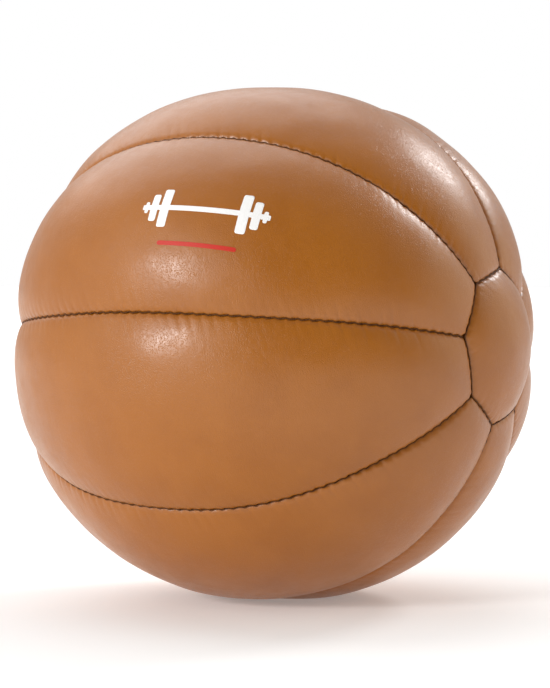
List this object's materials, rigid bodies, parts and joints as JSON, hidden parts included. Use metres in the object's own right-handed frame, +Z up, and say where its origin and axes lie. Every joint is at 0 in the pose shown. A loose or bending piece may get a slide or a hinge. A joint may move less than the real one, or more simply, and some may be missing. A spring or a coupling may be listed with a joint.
{
  "type": "medicine ball",
  "caption": "Stuffed leather medicine ball with crowned gores sewn edge to edge, an octagonal cap at each end and a small printed mark, for strength and balance exercises.",
  "frame": {"origin": "on the floor, under the ball's middle, in the patch that its weight presses flat", "axes": "+X along the polar axis that the gores' ends meet on, towards the right end cap; +Z up; -Y is the side with the printed mark"},
  "size_m": [0.278, 0.2776, 0.2738],
  "materials": {
    "cover_leather": "smooth tan leather, fine grain, satin",
    "lining_canvas": "plain woven cotton canvas",
    "felt_pad": "grey needled wool felt",
    "bag_canvas": "heavy woven cotton duck",
    "waxed_thread": "dark brown waxed linen thread",
    "stuffing_textile": "packed shredded textile",
    "print_white": "screen-printed ink, slightly worn",
    "print_red": "screen-printed ink, slightly worn"
  },
  "bodies": {
    "root": {"gore_1": "cover_leather", "gore_2": "cover_leather", "gore_3": "cover_leather", "gore_4": "cover_leather", "gore_5": "cover_leather", "gore_6": "cover_leather", "gore_7": "cover_leather", "gore_8": "cover_leather", "cap_left": "cover_leather", "cap_right": "cover_leather", "gore_lining_1": "lining_canvas", "gore_lining_2": "lining_canvas", "gore_lining_3": "lining_canvas", "gore_lining_4": "lining_canvas", "gore_lining_5": "lining_canvas", "gore_lining_6": "lining_canvas", "gore_lining_7": "lining_canvas", "gore_lining_8": "lining_canvas", "cap_lining_left": "lining_canvas", "cap_lining_right": "lining_canvas", "gore_pad_1": "felt_pad", "gore_pad_2": "felt_pad", "gore_pad_3": "felt_pad", "gore_pad_4": "felt_pad", "gore_pad_5": "felt_pad", "gore_pad_6": "felt_pad", "gore_pad_7": "felt_pad", "gore_pad_8": "felt_pad", "cap_pad_left": "felt_pad", "cap_pad_right": "felt_pad", "seam_thread_1": "waxed_thread", "seam_thread_2": "waxed_thread", "seam_thread_3": "waxed_thread", "seam_thread_4": "waxed_thread", "seam_thread_5": "waxed_thread", "seam_thread_6": "waxed_thread", "seam_thread_7": "waxed_thread", "seam_thread_8": "waxed_thread", "cap_thread_left": "waxed_thread", "cap_thread_right": "waxed_thread", "closing_thread": "waxed_thread", "bag_left": "bag_canvas", "bag_right": "bag_canvas", "bag_thread": "waxed_thread", "stuffing": "stuffing_textile", "emblem_barbell": "print_white", "emblem_stripe": "print_red"}
  },
  "joints": []
}
